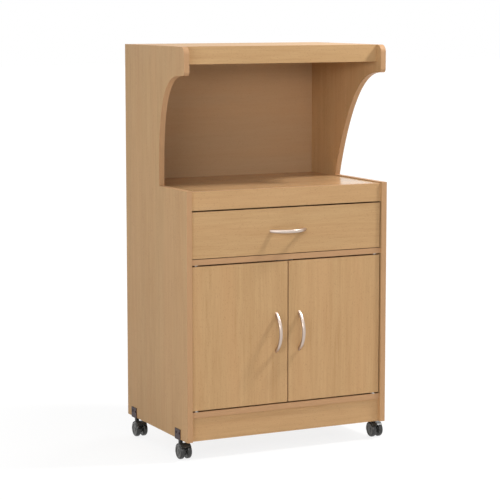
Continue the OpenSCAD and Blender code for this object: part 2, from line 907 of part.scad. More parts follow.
module left_door_handle() {
    color(nickel) at_door_handle() handle(90);
}

module left_door_handle_screws() {
    color(zinc) at_door_handle() handle_screws(90);
}

module left_door_pivots() {
    color(zinc) door_pivots();
}

module left_door_strike() {
    color(zinc) door_strike();
}

module right_door() {
    color(beech) mirror([1, 0, 0]) door();
}

module right_door_handle() {
    color(nickel) mirror([1, 0, 0]) at_door_handle() handle(90);
}

module right_door_handle_screws() {
    color(zinc) mirror([1, 0, 0]) at_door_handle() handle_screws(90);
}

module right_door_pivots() {
    color(zinc) mirror([1, 0, 0]) door_pivots();
}

module right_door_strike() {
    color(zinc) mirror([1, 0, 0]) door_strike();
}

module pivot_bushing() {
    difference() {
        union() {
            translate([0, 0, -bushing_len]) cylinder(r = bushing_r, h = bushing_len);
            cylinder(r = flange_r, h = flange_t);
        }
        translate([0, 0, -bushing_len - over])
            cylinder(r = pivot_r + running, h = bushing_len + flange_t + 2 * over);
    }
}

module pivot_bushings() {
    color(nylon) both_sides() {
        translate([-pivot_x, pivot_y, z_cabinet]) pivot_bushing();
        translate([-pivot_x, pivot_y, z_divider]) mirror([0, 0, 1]) pivot_bushing();
    }
}

catch_d = 16;

module magnetic_catch() {
    catch_y = y_fronts + strike_t + slack;
    color(nylon) block([-catch_w / 2, catch_y, z_divider - catch_h],
        [catch_w / 2, catch_y + catch_d, z_divider]);
}

// ---- Casters ----
// Drawn with the swivel axis at x = y = 0, the floor at z = 0 and the axle ahead
caster_x = x_out - board_t / 2;
caster_y_rear = body_d - caster_rear_inset;
neck_wall = 3;
neck_r = stem_r + neck_wall;
stem_head_rim = 1.2;
stem_head_r = stem_r + stem_head_rim;
stem_head_t = 1.6;
stem_head_play = 1;
stem_depth = 9;
neck_floor = 3;      // below the end of the stem
hood_top = z_base - bracket_t - slack;
web_gap = 1.5;       // from the hood's web to a wheel
web_t = wheel_gap - 2 * web_gap;
boss_r = wheel_r / 2;
fender_gap = 0.8;
fender_t = 1.8;
fender_r = wheel_r + fender_gap + fender_t;
fender_inset = 2.5;   // from a wheel's outer face to the fender's edge
fender_half_w = wheel_gap / 2 + wheel_w - fender_inset;
hood_rear = -12;     // angles of the hood's ends, from behind the axle over the top
hood_front = 140;
tab_rim = 2;
tab_reach = neck_r + tab_rim;
bracket_screw_inset = 7;
bracket_screw_down = 11;

module at_caster(end_y, side) {
    translate([side * caster_x, end_y, 0]) children();
}

module at_front_left() {
    place() at_caster(caster_front_y, left) children();
}

module at_front_right() {
    place() at_caster(caster_front_y, right) children();
}

module at_rear_left() {
    place() at_caster(caster_y_rear, left) children();
}

module at_rear_right() {
    place() at_caster(caster_y_rear, right) children();
}

// Stands at the left side panel's bottom, over both swivel axes
module at_caster_pair() {
    for (y = [caster_front_y, caster_y_rear]) translate([-caster_x, y, z_base]) children();
}

module at_bracket_screws() {
    for (y = [caster_front_y, caster_y_rear]) for (dy = [-1, 1])
        translate([-x_out, y + dy * (bracket_w / 2 - bracket_screw_inset),
            z_base + bracket_h - bracket_screw_down]) children();
}

module caster_brackets() {
    color(bracket_brown) both_sides() difference() {
        for (y = [caster_front_y, caster_y_rear]) {
            block([-x_out - bracket_t, y - bracket_w / 2, z_base - bracket_t],
                [-x_out, y + bracket_w / 2, z_base + bracket_h]);
            block([-x_out - bracket_t, y - tab_reach, z_base - bracket_t],
                [tab_reach - caster_x, y + tab_reach, z_base]);
        }
        at_bracket_screws() rod_x(screw_r + press, -bracket_t - over, over);
        at_caster_pair() translate([0, 0, -bracket_t - over])
            cylinder(r = stem_r + press, h = bracket_t + 2 * over);
    }
}

module caster_stems() {
    color(zinc) both_sides() at_caster_pair() {
        cylinder(r = stem_head_r, h = stem_head_t);
        translate([0, 0, -bracket_t - stem_depth]) cylinder(r = stem_r, h = bracket_t + stem_depth);
    }
}

module caster_screws() {
    color(bracket_brown) both_sides() at_bracket_screws() {
        rod_x(screw_r, -bracket_t, screw_len);
        rod_x(screw_head_r, -bracket_t - screw_head_t, -bracket_t);
    }
}

// The part of a disc that the hood covers, over the top and down the rear
module hood_sector(r) {
    difference() {
        circle(r = r);
        rotate(hood_rear) translate([-2 * r, -2 * r]) square([4 * r, 2 * r]);
        rotate(hood_front) square(2 * r);
    }
}

module caster_hood() {
    color(caster_grey) difference() {
        union() {
            slab_x(-web_t / 2, web_t / 2) translate([-trail, wheel_r]) {
                hood_sector(fender_r);
                circle(r = boss_r);
            }
            slab_x(-fender_half_w, fender_half_w) translate([-trail, wheel_r]) difference() {
                hood_sector(fender_r);
                circle(r = wheel_r + fender_gap);
            }
            translate([0, 0, hood_top - stem_depth - neck_floor])
                cylinder(r = neck_r, h = stem_depth + neck_floor);
        }
        translate([0, 0, hood_top - stem_depth - bore_rest])
            cylinder(r = stem_r + running, h = stem_depth + bore_rest + over);
        translate([0, -trail, wheel_r]) rod_x(axle_r + running, -wheel_w, wheel_w);
        wheel_space(fender_gap);
    }
}

// Space that the two wheels turn in
module wheel_space(play) {
    both_sides() translate([0, -trail, wheel_r])
        rod_x(wheel_r + play, -wheel_gap / 2 - wheel_w - play, -web_t / 2);
}

hub_r = 6;
hub_edge = 0.6;      // taken off the hub's corner
hub_fall = 0.4;      // of the hub's end below the rim
hub_recess = 1.6;    // of the dished face
rim_round = 5;       // of the tread's outer corner
tread_round = 3;     // of the tread's inner corner
rim_w = 5.6;         // from the tread to the edge of the dish
rim_fall = 0.6;
dish_edge = 0.8;
axle_end = 2;

// Section of one wheel: a tread rounded to both sides, a dished outer face
module wheel_section() {
    dish_r = wheel_r - rim_w;
    dish_w = wheel_w - hub_recess;
    hub_w = wheel_w - hub_fall;
    bore_r = axle_r + press;
    polygon(concat(
        [[bore_r, 0]],
        arc(wheel_r - tread_round, tread_round, tread_round, tread_round, -90, 0, rim_steps),
        arc(wheel_r - rim_round, wheel_w - rim_round, rim_round, rim_round, 0, 90, rim_steps),
        [[dish_r, wheel_w - rim_fall], [dish_r - dish_edge, dish_w], [hub_r, dish_w],
            [hub_r - hub_edge, hub_w], [0, hub_w],
            [0, wheel_w - axle_end], [bore_r, wheel_w - axle_end]]
    ));
}

module caster_wheels() {
    color(caster_grey) both_sides() translate([-wheel_gap / 2, -trail, wheel_r])
        rotate([0, -90, 0]) rotate_extrude() wheel_section();
}

module caster_axle() {
    reach = wheel_gap / 2 + wheel_w - axle_end - press;
    color(zinc) translate([0, -trail, wheel_r]) rod_x(axle_r, -reach, reach);
}

place() left_side_panel();
place() right_side_panel();
place() top_panel();
place() top_fascia();
place() hutch_back();
place() counter_panel();
place() counter_apron();
place() divider_panel();
place() bottom_panel();
place() plinth();
place() cabinet_back();
place() cabinet_shelf();
place() shelf_pins();
place() cam_locks();
place() cam_bolts();
place() wooden_dowels();
place() back_nails();
place() left_cabinet_runner();
place() right_cabinet_runner();
place() runner_rollers();
place() runner_screws();
place() pivot_bushings();
place() magnetic_catch();
place() caster_brackets();
place() caster_stems();
place() caster_screws();
place() drawer_front();
place() drawer_left_side();
place() drawer_right_side();
place() drawer_back();
place() drawer_bottom();
place() left_drawer_runner();
place() right_drawer_runner();
place() drawer_rollers();
place() drawer_fasteners();
place() drawer_handle();
place() drawer_handle_screws();
place() left_door();
place() left_door_handle();
place() left_door_handle_screws();
place() left_door_pivots();
place() left_door_strike();
place() right_door();
place() right_door_handle();
place() right_door_handle_screws();
place() right_door_pivots();
place() right_door_strike();
at_front_left() caster_hood();  // front_left_caster_hood
at_front_left() caster_wheels();  // front_left_caster_wheels
at_front_left() caster_axle();  // front_left_caster_axle
at_front_right() caster_hood();  // front_right_caster_hood
at_front_right() caster_wheels();  // front_right_caster_wheels
at_front_right() caster_axle();  // front_right_caster_axle
at_rear_left() caster_hood();  // rear_left_caster_hood
at_rear_left() caster_wheels();  // rear_left_caster_wheels
at_rear_left() caster_axle();  // rear_left_caster_axle
at_rear_right() caster_hood();  // rear_right_caster_hood
at_rear_right() caster_wheels();  // rear_right_caster_wheels
at_rear_right() caster_axle();  // rear_right_caster_axle
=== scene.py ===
"""Finishes, small pieces, stage and camera for a rolling microwave cart in beech-look laminate."""

import math

import bmesh
import bpy
from bpy.props import FloatProperty, FloatVectorProperty, PointerProperty
from bpy.types import Operator, Panel, PropertyGroup
from mathutils import Matrix, Vector


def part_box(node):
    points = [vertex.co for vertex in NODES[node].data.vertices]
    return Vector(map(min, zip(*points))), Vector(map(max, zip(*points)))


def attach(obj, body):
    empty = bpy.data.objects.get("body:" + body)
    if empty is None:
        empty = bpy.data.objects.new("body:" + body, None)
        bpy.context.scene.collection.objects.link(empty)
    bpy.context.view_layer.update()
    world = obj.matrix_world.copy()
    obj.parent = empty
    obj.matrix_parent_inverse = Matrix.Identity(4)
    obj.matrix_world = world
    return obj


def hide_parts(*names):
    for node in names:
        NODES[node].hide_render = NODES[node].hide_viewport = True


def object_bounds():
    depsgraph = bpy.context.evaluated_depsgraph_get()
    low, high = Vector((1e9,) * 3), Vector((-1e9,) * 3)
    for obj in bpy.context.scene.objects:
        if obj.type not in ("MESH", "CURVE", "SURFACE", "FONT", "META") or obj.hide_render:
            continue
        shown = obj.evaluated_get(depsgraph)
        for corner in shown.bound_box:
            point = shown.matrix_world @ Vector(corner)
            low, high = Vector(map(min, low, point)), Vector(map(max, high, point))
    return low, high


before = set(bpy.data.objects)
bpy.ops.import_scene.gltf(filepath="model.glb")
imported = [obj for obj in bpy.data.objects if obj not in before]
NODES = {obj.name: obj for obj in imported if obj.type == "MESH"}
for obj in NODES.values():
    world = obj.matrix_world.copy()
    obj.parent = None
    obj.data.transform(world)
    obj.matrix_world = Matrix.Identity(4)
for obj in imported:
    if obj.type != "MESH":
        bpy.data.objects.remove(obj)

bl_info = {
    "name": "Microwave Cart",
    "version": (1, 0, 0),
    "blender": (4, 5, 0),
    "location": "View3D > Sidebar > Cart",
    "description": "Finishes and fits out a rolling microwave cart on its packed frame",
    "category": "Object",
}

CAD_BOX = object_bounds()
CORNERS = ("front_left", "front_right", "rear_left", "rear_right")
AXES = {"X": Vector((1, 0, 0)), "Y": Vector((0, 1, 0)), "Z": Vector((0, 0, 1))}
ORIGIN = (0.0, 0.0, 0.0)
MM = 0.001

# Lamps: place, width and height in metres
LAMPS = {
    "key": ((1.55, -0.68, 2.46), 0.3, 0.3),
    "fill": ((-2.1, -1.68, 1.3), 1.6, 0.3),
    "front": ((0.0, -2.75, 1.4), 1.2, 0.3),
    "side": ((-1.5, -0.25, 1.15), 0.35, 0.2),
    "top": ((0.0, -0.45, 2.6), 0.5, 0.3),
    "rear": ((2.3, 1.5, 1.7), 1.2, 1.2),
    "rear_fill": ((-0.8, 2.6, 1.8), 1.2, 1.2),
}
FLOOR_HALF = 30.0
CAMERA_REACH = 100

# Turns that bring a board's grain, which runs along this axis, onto Z
GRAIN_TURNS = {"X": (0, -math.pi / 2, 0), "Y": (math.pi / 2, 0, 0), "Z": (0, 0, 0)}

# Beech boards: the axis of the grain, the axis of the faces, and the way that raw edges face
BOARDS = {
    "left_side_panel": ("Z", "X", (0, 1, -1)),
    "right_side_panel": ("Z", "X", (0, 1, -1)),
    "top_panel": ("X", "Z", (0, 1, 0)),
    "top_fascia": ("X", "Y", (0, 0, 0)),
    "counter_panel": ("X", "Z", (0, 1, 0)),
    "counter_apron": ("X", "Y", (0, 0, 0)),
    "divider_panel": ("X", "Z", (0, 1, 0)),
    "bottom_panel": ("X", "Z", (0, 1, 0)),
    "plinth": ("X", "Y", (0, 0, -1)),
    "cabinet_shelf": ("X", "Z", (0, 1, 0)),
    "drawer_front": ("X", "Y", (0, 0, 0)),
    "left_door": ("Z", "Y", (0, 0, 0)),
    "right_door": ("Z", "Y", (0, 0, 0)),
    "drawer_left_side": ("Y", "X", (0, 1, -1)),
    "drawer_right_side": ("Y", "X", (0, 1, -1)),
    "drawer_back": ("X", "Y", (0, 0, -1)),
}
POLISHED = ("counter_panel",)

# Step between the stretches of the print on one board and the next, in metres
PRINT_STEP = (0.37, 0.23, 0.61)

# Lines in the print: features per metre across and along the grain, and detail
PRINT_LINES = {
    "broad": (38, 2, 1.0),
    "middle": (120, 6, 2.0),
    "narrow": (260, 9, 2.0),
    "hair": (900, 26, 1.0),
    "dark": (150, 4, 1.0),
    "blush": (14, 1.1, 1.0),
}
# What each width of line adds to the tone
LINE_CONTRAST = {"broad": 0.45, "middle": 0.6, "narrow": 0.5, "hair": 0.45}

# Boards and backs: roughness, specular level, and depth of the relief in metres
LAMINATE = (0.42, 0.08, 0.00004)
POLISHED_LAMINATE = (0.2, 0.5, 0.00004)
BACK_BOARD = (0.55, 0.08, 0.00005)
BARE_WOOD = (0.6, 0.5, 0.0001)

# Pores of the laminates and sparks of the mouldings per metre
LAMINATE_PORES = (700.0, 700.0, 700.0)
SPARKS = (2200.0, 2200.0, 2200.0)

# Mouldings and enamels: roughness, specular level, and depth of the spark texture in metres
MOULDED = {
    "cream_enamel": (0.34, 0.5, 0.00001),
    "nylon": (0.45, 0.5, 0.00003),
    "hood_plastic": (0.36, 0.5, 0.00003),
    "wheel_plastic": (0.3, 0.5, 0.00003),
    "tread_plastic": (0.26, 0.5, 0.00002),
    "brown_enamel": (0.38, 0.25, 0.00002),
}
# How much of a moulding's colour stays in its darker clouds
CLOUD_TONE = 0.82

# Platings: roughness, and how much darker the clouds in the plating are
ZINC_PLATE = (0.32, 0.18)
NICKEL_PLATE = (0.34, 0.0)
METAL_RELIEF = 0.00002

# Noise values between which a cloud of tone fades in
CLOUD_RANGE = (0.3, 0.7)

# Marks of brushing per metre, across and along the strokes
BRUSHED_ACROSS = 900.0
BRUSHED_ALONG = 120.0

# Roundness of the handles' section: one is an ellipse, towards zero a rectangle
BOW_CORNER = 0.72
BOW_STEPS = 48
BOW_SIDES = 32

# Outer face of a wheel in millimetres: distance in from the tread's lip, and depth
RIM_STEPS = ((0.5, 0.1), (0.9, 0.5), (1.2, 1.4), (2.4, 1.8))
# The same towards the hub: radius, and depth
HUB_STEPS = ((8.4, 1.5), (6.8, 1.3), (6.5, 0.6), (6.0, 0.3), (4.6, 0.1), (2.4, 0.0))
WHEEL_STEPS = 72
CORNER_STEPS = 6
# Steps of the two rounded corners after which the tread's ring starts and ends
TREAD_FROM = 2
TREAD_TO = 3

# Edges sharper than this stay sharp in the shading, and sharper than the next are rounded
CREASE = math.radians(35)
ROUNDED = math.radians(50)
ROUNDED_SEGMENTS = 2

# Sockets of the Mix node that belong to colours
MIX_FACTOR, MIX_FIRST, MIX_SECOND, MIX_RESULT = 0, 6, 7, 2


def srgb(red, green, blue):
    """Scene-linear values of a colour given as it shows on a screen, 0 to 255."""

    def linear(value):
        value /= 255
        return value / 12.92 if value <= 0.04045 else ((value + 0.055) / 1.055) ** 2.4

    return linear(red), linear(green), linear(blue)


def colour(name, description, *screen):
    """A colour setting whose default is given as it shows on a screen."""
    return FloatVectorProperty(
        name=name,
        description=description,
        default=srgb(*screen),
        size=3,
        min=0,
        max=1,
        subtype="COLOR",
    )


def length(name, description, millimetres):
    """A length setting whose default is given in millimetres."""
    return FloatProperty(
        name=name,
        description=description,
        default=millimetres / 1000,
        precision=5,
        unit="LENGTH",
        subtype="DISTANCE",
    )


def turn(name, description, degrees):
    """An angle setting whose default is given in degrees."""
    return FloatProperty(name=name, description=description, default=math.radians(degrees), subtype="ANGLE")


def amount(name, description, default):
    """A plain number setting."""
    return FloatProperty(name=name, description=description, default=default, precision=3)


class CartWood(PropertyGroup):
    """Colours and grain of the boards"""

    light: colour("Light grain", "Palest tone of the beech print", 205, 170, 126)
    dark: colour("Dark grain", "Deepest tone of the beech print", 176, 136, 92)
    blush: colour("Blush", "Pink tone that drifts through the print", 202, 158, 114)
    band: colour("Edge band", "Banding on the boards' edges", 184, 142, 105)
    back_light: colour("Back's light grain", "Palest tone of the print on the hutch's back", 208, 178, 142)
    back_dark: colour("Back's dark grain", "Deepest tone of the print on the hutch's back", 182, 147, 110)
    fleck: colour("Fleck", "Short flecks in the grain", 142, 100, 64)
    chip_light: colour("Light chip", "Pale chips of a raw edge", 203, 170, 122)
    chip_dark: colour("Dark chip", "Dark chips of a raw edge", 150, 113, 72)
    board: colour("Hardboard", "Smooth brown face of the backs", 140, 103, 70)
    board_dark: colour("Hardboard fibre", "Dark fibres in the backs", 118, 84, 55)
    dowel: colour("Dowel", "Plain wood of the dowels", 214, 188, 140)
    arris: length("Arris", "Rounding of the boards' edges", 0.6)
    streaks: amount("Streaks", "Contrast of the long streaks", 0.8)
    back_streaks: amount("Back streaks", "Contrast of the long streaks on the hutch's back", 0.35)
    flecks: amount("Flecks", "Share of the short flecks", 0.35)
    blush_share: amount("Blush share", "Strength of the pink drift", 0.3)
    band_grain: amount("Band grain", "Strength of the grain in the edge bands", 0.3)


class CartMetal(PropertyGroup):
    """Colours and sizes of the metal pieces"""

    nickel: colour("Nickel", "Satin nickel of the handles", 198, 182, 170)
    zinc: colour("Zinc", "Zinc plate of the screws and cams", 205, 207, 208)
    cream: colour("Cream enamel", "Enamel of the drawer runners", 226, 221, 206)
    brown: colour("Brown enamel", "Enamel of the caster brackets", 54, 30, 34)
    runner_edge: length("Runner edge", "Rounding of the runners' edges", 0.3)
    handle_centres: length("Handle centres", "Distance between a handle's feet", 96)
    handle_foot: length("Handle foot", "Length of a handle's feet on the board", 14)
    handle_thickness: length("Handle thickness", "Thickness of the bow at its middle", 6.5)
    handle_width: length("Handle width", "Width of the bow", 9.5)


class CartPlastic(PropertyGroup):
    """Colours and sizes of the plastic pieces"""

    wheel: colour("Wheel", "Moulded plastic of the wheels", 76, 76, 73)
    tread: colour("Tread", "Softer ring that rolls on the floor", 50, 50, 49)
    hood: colour("Hood", "Moulded plastic of the hoods", 58, 58, 56)
    nylon: colour("Nylon", "Nylon of the bushings, rollers and catch", 232, 229, 219)
    edge: length("Edge", "Rounding of the casters' edges", 0.5)
    nylon_edge: length("Nylon edge", "Rounding of the nylon pieces' edges", 0.4)
    wheel_gap: length("Wheel gap", "Gap between the two wheels of a caster", 9)
    tread_round: length("Inner rounding", "Rounding of a tread's inner corner", 3)
    rim_round: length("Outer rounding", "Rounding of a tread's outer corner", 5)
    hub: length("Hub", "Radius of the flat round the axle on a wheel's inner face", 7)
    hollow: length("Hollow", "Depth of the hollow in a wheel's inner face", 0.8)
    hollow_slope: length("Hollow slope", "Width of the hollow's sloping sides", 0.6)
    tread_flat: length("Tread flat", "Width of the flat between the hollow and the tread", 0.8)


class CartStage(PropertyGroup):
    """Floor, lamps and camera"""

    floor: colour("Floor", "Pale studio floor", 236, 236, 235)
    shadow: amount("Shadow", "Depth of the cart's shadow on the floor, 0 to 1", 0.16)
    shadow_near: length("Shadow near", "Distance from the middle at which the shadow starts to fade", 450)
    shadow_far: length("Shadow far", "Distance from the middle at which the shadow has faded", 1700)
    daylight: amount("Surround", "Strength of the even light from all round", 0.3)
    key: amount("Key lamp", "Power of the small lamp at the upper right, in watts", 54)
    fill: amount("Fill lamp", "Power of the wide low lamp at the front left, in watts", 19.5)
    front: amount("Front lamp", "Power of the weak lamp in front, in watts", 8)
    side: amount("Side lamp", "Power of the small near lamp at the left, in watts", 2)
    top: amount("Top lamp", "Power of the lamp overhead, in watts", 7)
    rear: amount("Rear lamp", "Power of the lamp behind at the right, in watts", 24)
    rear_fill: amount("Rear fill lamp", "Power of the lamp behind at the left, in watts", 14)
    camera_x: length("Camera X", "Camera's place to the right of the middle", -2289)
    camera_y: length("Camera Y", "Camera's place behind the middle", -4554.5)
    camera_z: length("Camera Z", "Camera's height above the floor", 1194)
    camera_turn: turn("Camera turn", "Turn to the right from straight ahead", 26.47)
    camera_dip: turn("Camera dip", "Angle below the horizon", 7.49)
    lens: FloatProperty(
        name="Lens",
        description="Focal length on a 36 mm frame",
        default=134.1,
        unit="CAMERA",
        subtype="DISTANCE_CAMERA",
    )


class Graph:
    """Fills a node tree. Each helper returns the new node's output."""

    def __init__(self, tree):
        self.tree = tree

    def plug(self, socket, value):
        if isinstance(value, bpy.types.NodeSocket):
            self.tree.links.new(value, socket)
        else:
            socket.default_value = value

    def node(self, kind, inputs=None, **settings):
        made = self.tree.nodes.new("ShaderNode" + kind)
        for key, value in settings.items():
            setattr(made, key, value)
        for key, value in (inputs or {}).items():
            self.plug(made.inputs[key], value)
        return made

    def math(self, operation, *values):
        return self.node("Math", dict(enumerate(values)), operation=operation).outputs[0]

    def add(self, first, *others):
        for other in others:
            first = self.math("ADD", first, other)
        return first

    def less(self, first, second):
        return self.math("SUBTRACT", first, second)

    def times(self, first, second):
        return self.math("MULTIPLY", first, second)

    def vector(self, operation, *values):
        made = self.node("VectorMath", dict(enumerate(values)), operation=operation)
        return made.outputs["Value" if operation in ("DOT_PRODUCT", "LENGTH") else "Vector"]

    def stretch(self, vector, scale):
        return self.vector("MULTIPLY", vector, scale)

    def noise(self, vector, scale, detail=2.0):
        return self.node("TexNoise", {"Vector": vector, "Scale": scale, "Detail": detail}).outputs[0]

    def cells(self, vector, scale):
        """Random cells: a number of its own for each, and the distance from its middle."""
        made = self.node("TexVoronoi", {"Vector": vector, "Scale": scale})
        number = self.node("SeparateXYZ", {0: made.outputs["Color"]}).outputs[0]
        return number, made.outputs["Distance"]

    def ramp(self, value, low, high):
        """Zero below low, one above high, and smooth between them."""
        inputs = {"Value": value, "From Min": low, "From Max": high}
        return self.node("MapRange", inputs, interpolation_type="SMOOTHSTEP").outputs[0]

    def centred(self, value, gain):
        """A noise value moved to around zero and scaled."""
        return self.times(self.less(value, 0.5), gain)

    def mix(self, factor, first, second):
        """A colour between the first, at a factor of zero, and the second, at one."""
        made = self.node("Mix", {MIX_FACTOR: factor}, data_type="RGBA")
        self.plug(made.inputs[MIX_FIRST], first)
        self.plug(made.inputs[MIX_SECOND], second)
        return made.outputs[MIX_RESULT]

    def bump(self, height, distance, strength=1.0):
        inputs = {"Height": height, "Distance": distance, "Strength": strength}
        return self.node("Bump", inputs).outputs["Normal"]

    def effect(self, tree, **inputs):
        return self.node("Group", inputs, node_tree=tree).outputs

    def place(self):
        return self.node("TexCoord").outputs["Object"]

    def facing(self):
        return self.node("TexCoord").outputs["Normal"]

    def seen(self):
        """One for what the camera sees, straight or in a reflection or through glass."""
        path = self.node("LightPath").outputs
        seen = self.math("MAXIMUM", path["Is Camera Ray"], path["Is Glossy Ray"])
        return self.math("MAXIMUM", seen, path["Is Transmission Ray"])


def effect(name, inputs, outputs, build):
    """A shader node group, built once. build(graph, inputs) returns what each output is fed with."""
    tree = bpy.data.node_groups.get(name)
    if tree is None:
        tree = bpy.data.node_groups.new(name, "ShaderNodeTree")
        for label, default in inputs.items():
            kind = "NodeSocketFloat" if isinstance(default, float) else "NodeSocketVector"
            tree.interface.new_socket(label, in_out="INPUT", socket_type=kind).default_value = default
        for label in outputs:
            tree.interface.new_socket(label, in_out="OUTPUT", socket_type="NodeSocketFloat")
        graph = Graph(tree)
        fed = build(graph, tree.nodes.new("NodeGroupInput").outputs)
        sink = tree.nodes.new("NodeGroupOutput").inputs
        for label in outputs:
            graph.plug(sink[label], fed[label])
    return tree


def material(name, build):
    """A material, made once. build(graph) returns the inputs of its Principled BSDF."""
    name = "cart_" + name
    made = bpy.data.materials.get(name)
    if made is None:
        made = bpy.data.materials.new(name)
        made.use_nodes = True
        made.node_tree.nodes.clear()
        graph = Graph(made.node_tree)
        shader = graph.node("BsdfPrincipled", build(graph))
        graph.node("OutputMaterial", {"Surface": shader.outputs[0]})
    return made


def opaque(tone):
    """A colour setting as a four-value shader colour."""
    return (*tone, 1.0)


# ---- Shared effects ----


def beech_grain():
    """Printed beech grain that runs along Z: soft streaks, dark lines, flecks and a drift of tone."""
    drift_scale = (3, 3, 1)
    drift_reach = 0.03
    dark_range = (0.62, 0.72)
    dark_depth = 0.16
    blush_range = (0.35, 0.7)
    fleck_scale = (620, 620, 150)
    fleck_range = (0.35, 1.0)
    fleck_radius = 0.34
    line_relief = 0.5

    def build(graph, given):
        drift = graph.node("TexNoise", {"Vector": graph.stretch(given["Vector"], drift_scale), "Scale": 1.0})
        shift = graph.vector("SCALE", graph.vector("SUBTRACT", drift.outputs["Color"], (0.5, 0.5, 0.5)))
        graph.plug(shift.node.inputs["Scale"], drift_reach)
        place = graph.vector("ADD", given["Vector"], shift)

        lines = {}
        for name, (across, along, detail) in PRINT_LINES.items():
            lines[name] = graph.noise(graph.stretch(place, (across, across, along)), 1.0, detail)
        tone = graph.add(*[graph.centred(lines[name], gain) for name, gain in LINE_CONTRAST.items()])
        dark_line = graph.ramp(lines["dark"], *dark_range)
        tone = graph.less(tone, graph.times(dark_line, dark_depth))
        tone = graph.add(graph.times(tone, given["Streaks"]), 0.5)

        number, distance = graph.cells(graph.stretch(place, fleck_scale), 1.0)
        radius = graph.times(graph.ramp(number, *fleck_range), fleck_radius)
        fleck = graph.times(graph.math("GREATER_THAN", radius, distance), given["Flecks"])
        blush = graph.ramp(lines["blush"], *blush_range)
        relief = graph.less(graph.times(lines["narrow"], line_relief), fleck)
        return {"Tone": tone, "Blush": blush, "Fleck": fleck, "Relief": relief}

    inputs = {"Vector": ORIGIN, "Streaks": 1.0, "Flecks": 0.5}
    return effect("Beech Grain", inputs, ("Tone", "Blush", "Fleck", "Relief"), build)


def edge_mask():
    """Band is one on a board's edges, and Raw on the faces that face a given way."""
    face_range = (0.8, 0.97)
    raw_range = (0.9, 0.98)

    def build(graph, given):
        across = graph.math("ABSOLUTE", graph.vector("DOT_PRODUCT", given["Facing"], given["Faces"]))
        towards = graph.vector("DOT_PRODUCT", given["Facing"], given["Raw"])
        band = graph.less(1.0, graph.ramp(across, *face_range))
        return {"Band": band, "Raw": graph.ramp(towards, *raw_range)}

    inputs = {"Facing": ORIGIN, "Faces": ORIGIN, "Raw": ORIGIN}
    return effect("Board Edge", inputs, ("Band", "Raw"), build)


def chipboard():
    """Pressed chips of a raw edge."""
    chips_per_metre = 420.0
    crumbs_per_metre = 900.0
    chip_share = 0.6

    def build(graph, given):
        chip, _ = graph.cells(given["Vector"], chips_per_metre)
        crumb = graph.noise(given["Vector"], crumbs_per_metre, 3.0)
        shade = graph.add(graph.times(chip, chip_share), graph.times(crumb, 1 - chip_share))
        return {"Shade": shade, "Relief": crumb}

    return effect("Chipboard", {"Vector": ORIGIN}, ("Shade", "Relief"), build)


def handling():
    """Faint smears and a fine grain that vary a finish's roughness."""
    smears_per_metre = 9.0
    smear_gain = 0.25
    fine_gain = 0.35

    def build(graph, given):
        smear = graph.noise(given["Vector"], smears_per_metre, 4.0)
        fine = graph.noise(graph.stretch(given["Vector"], given["Stretch"]), 1.0, 2.0)
        spread = graph.add(graph.centred(smear, smear_gain), graph.centred(fine, fine_gain))
        return {"Gloss": graph.times(spread, given["Amount"]), "Relief": fine}

    inputs = {"Vector": ORIGIN, "Stretch": (1500.0, 1500.0, 1500.0), "Amount": 1.0}
    return effect("Handling", inputs, ("Gloss", "Relief"), build)


# ---- Finishes ----


def printed_grain(graph, grain, wood, dark, light):
    """The colour of the print between its two tones, with its blush and flecks."""
    tone = graph.mix(grain["Tone"], opaque(dark), opaque(light))
    tone = graph.mix(graph.times(grain["Blush"], wood.blush_share), tone, opaque(wood.blush))
    return graph.mix(grain["Fleck"], tone, opaque(wood.fleck))


def beech(board, wood):
    """The laminate of one board, with its own stretch of the print."""
    along, faces, raw = BOARDS[board]
    order = list(BOARDS).index(board)
    roughness, level, depth = POLISHED_LAMINATE if board in POLISHED else LAMINATE
    pore_share = 0.7

    def build(graph):
        place = graph.place()
        stretch = tuple(step * order for step in PRINT_STEP)
        moved = {"Vector": place, "Location": stretch, "Rotation": GRAIN_TURNS[along]}
        turned = graph.node("Mapping", moved).outputs[0]
        grain = graph.effect(beech_grain(), Vector=turned, Streaks=wood.streaks, Flecks=wood.flecks)
        print_tone = printed_grain(graph, grain, wood, wood.dark, wood.light)
        band_share = graph.times(grain["Tone"], wood.band_grain)
        band_tone = graph.mix(band_share, opaque(wood.band), opaque(wood.light))
        chips = graph.effect(chipboard(), Vector=place)
        chip_tone = graph.mix(chips["Shade"], opaque(wood.chip_dark), opaque(wood.chip_light))
        raw_way = Vector(raw).normalized()
        edge = graph.effect(edge_mask(), Facing=graph.facing(), Faces=AXES[faces], Raw=raw_way)
        tone = graph.mix(edge["Band"], print_tone, graph.mix(edge["Raw"], band_tone, chip_tone))
        worn = graph.effect(handling(), Vector=place, Stretch=LAMINATE_PORES, Amount=0.5)
        gloss = graph.add(worn["Gloss"], roughness)
        relief = graph.add(grain["Relief"], graph.times(worn["Relief"], pore_share))
        normal = graph.bump(relief, depth, 0.6)
        return {"Base Color": tone, "Roughness": gloss, "Specular IOR Level": level, "Normal": normal}

    return material(board + "_laminate", build)


